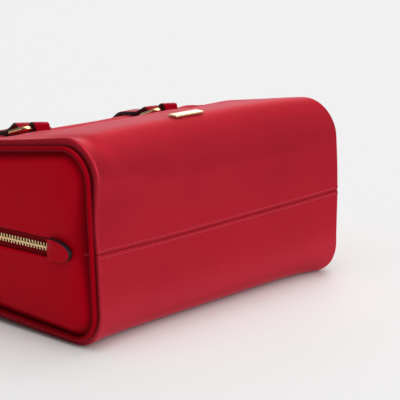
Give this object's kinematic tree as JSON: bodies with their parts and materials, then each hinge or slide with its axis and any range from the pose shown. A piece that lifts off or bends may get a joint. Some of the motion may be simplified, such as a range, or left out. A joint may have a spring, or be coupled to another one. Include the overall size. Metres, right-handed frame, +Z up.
{
  "type": "zip-top leather satchel",
  "caption": "Box-shaped leather handbag lying on its back: a zip runs over the top and down both piped ends, short handles hang on metal rings.",
  "frame": {"origin": "on the table, under the middle of the whole part with its handles", "axes": "+X along the bag to its right end, +Y from its base to its zipped top, +Z up, from the back panel to the front panel"},
  "size_m": [0.2516, 0.2616, 0.1308],
  "materials": {
    "red_leather": "smooth red leather with a soft sheen, black painted edges on straps and tabs",
    "zip_cloth": "dark red woven zip tape",
    "gold_metal": "polished pale gold plating"
  },
  "bodies": {
    "root": {"front_panel": "red_leather", "back_panel": "red_leather", "end_panel_left": "red_leather", "end_panel_right": "red_leather", "piping_left": "red_leather", "piping_right": "red_leather", "zip_end_tab_left": "red_leather", "zip_end_tab_right": "red_leather", "handle_tab_front_left": "red_leather", "handle_tab_front_right": "red_leather", "handle_tab_back_left": "red_leather", "handle_tab_back_right": "red_leather", "handle_front": "red_leather", "handle_back": "red_leather", "zip_tape_front": "zip_cloth", "zip_tape_back": "zip_cloth", "zip_chain": "gold_metal", "zip_slider": "gold_metal", "handle_ring_front_left": "gold_metal", "handle_ring_front_right": "gold_metal", "handle_ring_back_left": "gold_metal", "handle_ring_back_right": "gold_metal", "front_badge": "gold_metal"}
  },
  "joints": []
}
